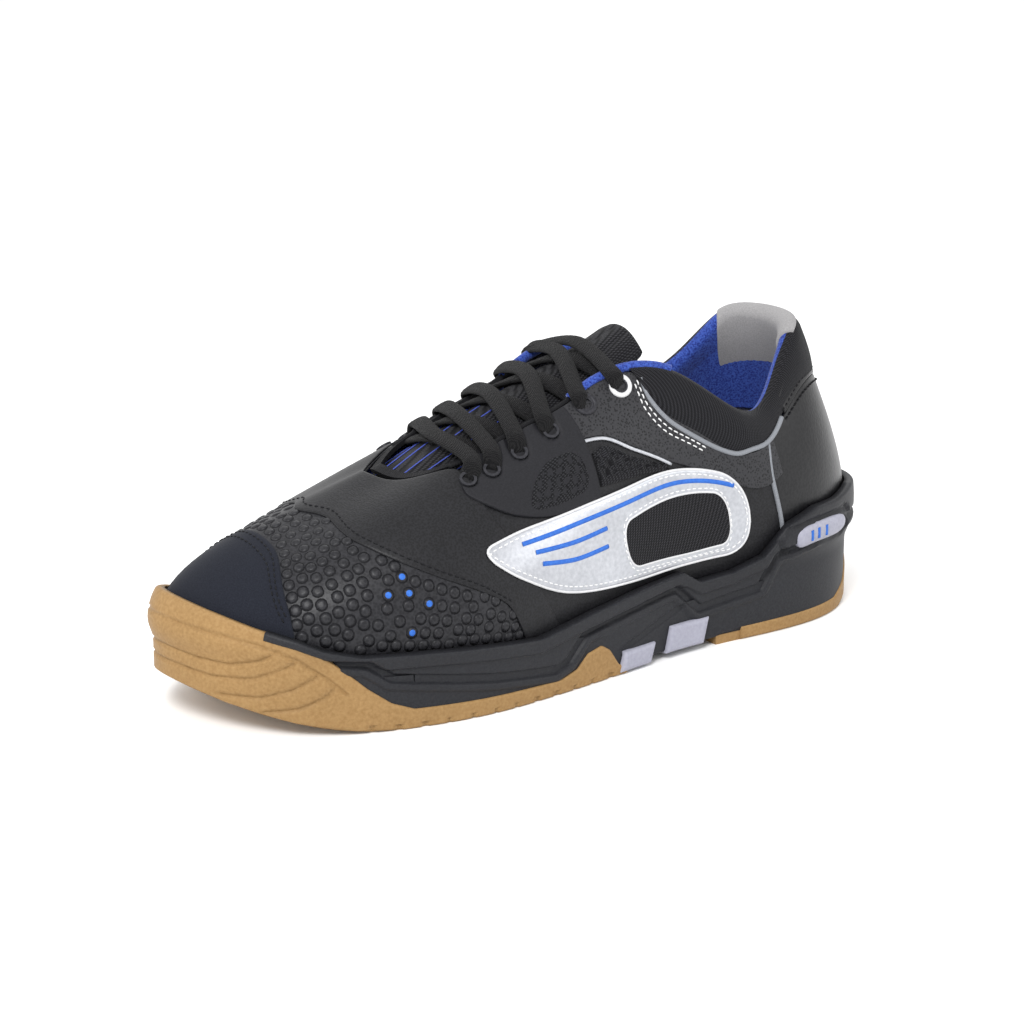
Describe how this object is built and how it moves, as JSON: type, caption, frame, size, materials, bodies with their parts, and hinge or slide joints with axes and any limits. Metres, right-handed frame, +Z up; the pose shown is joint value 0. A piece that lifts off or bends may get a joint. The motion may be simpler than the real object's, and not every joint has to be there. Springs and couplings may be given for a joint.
{
  "type": "court shoe",
  "caption": "Left indoor court shoe with gum outsole, black padded upper, silver side band, laced throat, padded collar and a sole that flexes at the ball.",
  "frame": {"origin": "centre of the shoe's footprint box at ground level", "axes": "+X towards the toe, +Y to the lateral (outer) side of this left shoe, +Z up"},
  "size_m": [0.2962, 0.1023, 0.1179],
  "materials": {
    "gum_rubber": "matte gum rubber",
    "midsole_black": "matte moulded",
    "shank_grey": "satin",
    "toe_leather": "matte nubuck",
    "vamp_black": "embossed",
    "side_leather": "smooth matte",
    "eyestay_rubber": "matte",
    "facing_leather": "micro-dotted",
    "silver": "metallic film",
    "collar_knit": "knit",
    "piping_grey": "satin",
    "heel_leather": "gloss",
    "binding_black": "woven",
    "lining_blue": "knit",
    "lining_suede": "suede",
    "foam": "open-cell foam",
    "board": "fibre board",
    "insole_fabric": "knit over foam",
    "stiffener": "fibre",
    "tongue_mesh": "mesh",
    "eyelet_metal": "satin",
    "lace_black": "braided"
  },
  "bodies": {
    "shoe": {"arch_shank": "shank_grey", "collar_binding": "binding_black", "collar_foam": "foam", "collar_lateral": "collar_knit", "collar_lining": "lining_blue", "collar_medial": "collar_knit", "collar_piping_lateral": "piping_grey", "collar_piping_medial": "piping_grey", "eyelet_facing_lateral": "facing_leather", "eyelet_facing_medial": "facing_leather", "eyelets_lateral": "eyelet_metal", "eyelets_medial": "eyelet_metal", "eyestay_lateral": "eyestay_rubber", "eyestay_medial": "eyestay_rubber", "heel_counter": "heel_leather", "heel_lining": "lining_suede", "heel_stiffener": "stiffener", "heel_tab": "heel_leather", "heel_window_lateral": "shank_grey", "heel_window_medial": "shank_grey", "lace_lower_strands": "lace_black", "lace_upper_strands": "lace_black", "lasting_board": "board", "midsole": "midsole_black", "midsole_wall_heel": "midsole_black", "midsole_wall_lateral": "midsole_black", "midsole_wall_medial": "midsole_black", "outsole_forefoot": "gum_rubber", "outsole_heel": "gum_rubber", "quarter_lateral": "side_leather", "quarter_lining_lateral": "lining_blue", "quarter_lining_medial": "lining_blue", "quarter_medial": "side_leather", "side_overlay_lateral": "silver", "side_overlay_medial": "silver", "sockliner": "insole_fabric", "throat_binding": "binding_black", "tongue_cover": "tongue_mesh", "tongue_foam": "foam", "tongue_lining": "lining_blue", "vamp_flex": "vamp_black", "vamp_throat": "side_leather"},
    "toe": {"toe_cap": "toe_leather", "vamp_front": "vamp_black", "toe_bumper": "gum_rubber", "forefoot_walls": "midsole_black", "midsole_toe": "midsole_black", "outsole_toe": "gum_rubber", "lasting_board_toe": "board", "sockliner_toe": "insole_fabric", "toe_puff": "stiffener", "toe_lining": "lining_blue"},
    "tongue_top": {"tongue_top_cover": "tongue_mesh", "tongue_top_foam": "foam", "tongue_top_lining": "lining_blue"}
  },
  "joints": [
    {"name": "toe_flex", "type": "hinge", "parent": "shoe", "child": "toe", "pos_m": [0.08, 0, 0.024], "axis": [0, -1, 0], "range_deg": [0, 22], "stiffness_Nm_per_rad": 2.5, "deforming": ["vamp_flex"]},
    {"name": "tongue_fold", "type": "hinge", "parent": "shoe", "child": "tongue_top", "pos_m": [-0.028, 0, 0.1115], "axis": [0, 1, 0], "range_deg": [0, 40], "stiffness_Nm_per_rad": 0.1}
  ]
}
